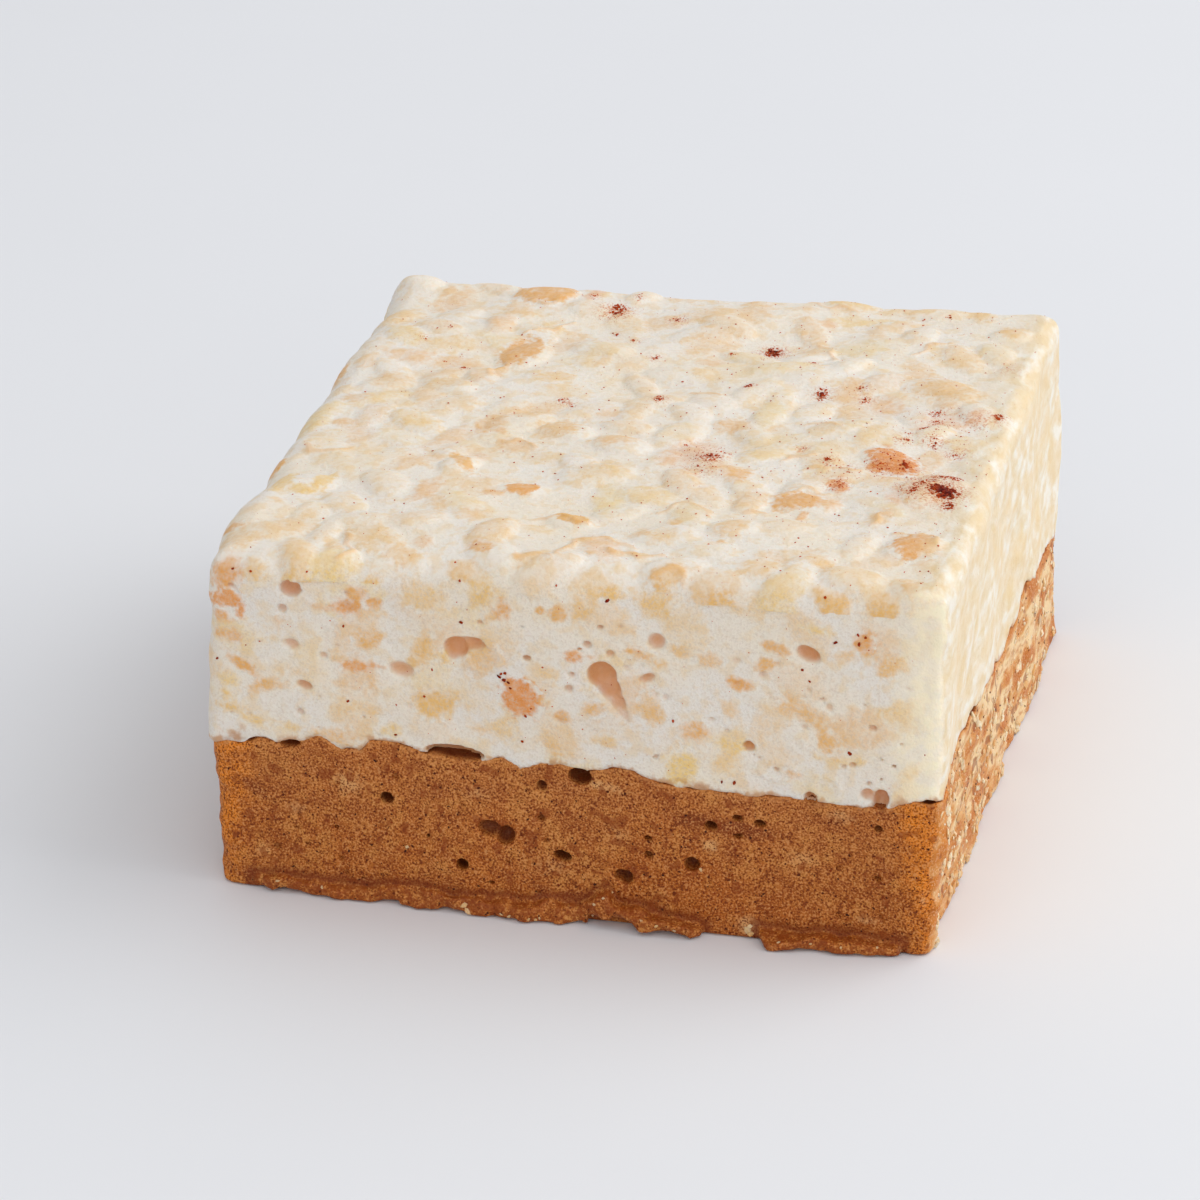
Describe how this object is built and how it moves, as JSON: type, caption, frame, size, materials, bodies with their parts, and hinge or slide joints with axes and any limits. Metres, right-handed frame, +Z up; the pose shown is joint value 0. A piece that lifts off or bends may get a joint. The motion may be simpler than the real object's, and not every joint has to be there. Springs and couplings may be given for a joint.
{
  "type": "two-layer puffed rice treat square",
  "caption": "Square of puffed rice treat: a white marshmallow layer on a cinnamon-brown one, with swelling puffs, open bubbles and a ragged crust at the foot.",
  "frame": {"origin": "middle of the flat underside of the brown layer", "axes": "+Z up through both layers, -Y towards the front skin, +X towards the knife-cut side"},
  "size_m": [0.0736, 0.0767, 0.0383],
  "materials": {
    "white_marshmallow": "satin",
    "brown_marshmallow": "satin"
  },
  "bodies": {
    "root": {"white_marshmallow_layer": "white_marshmallow", "brown_marshmallow_layer": "brown_marshmallow"}
  },
  "joints": []
}
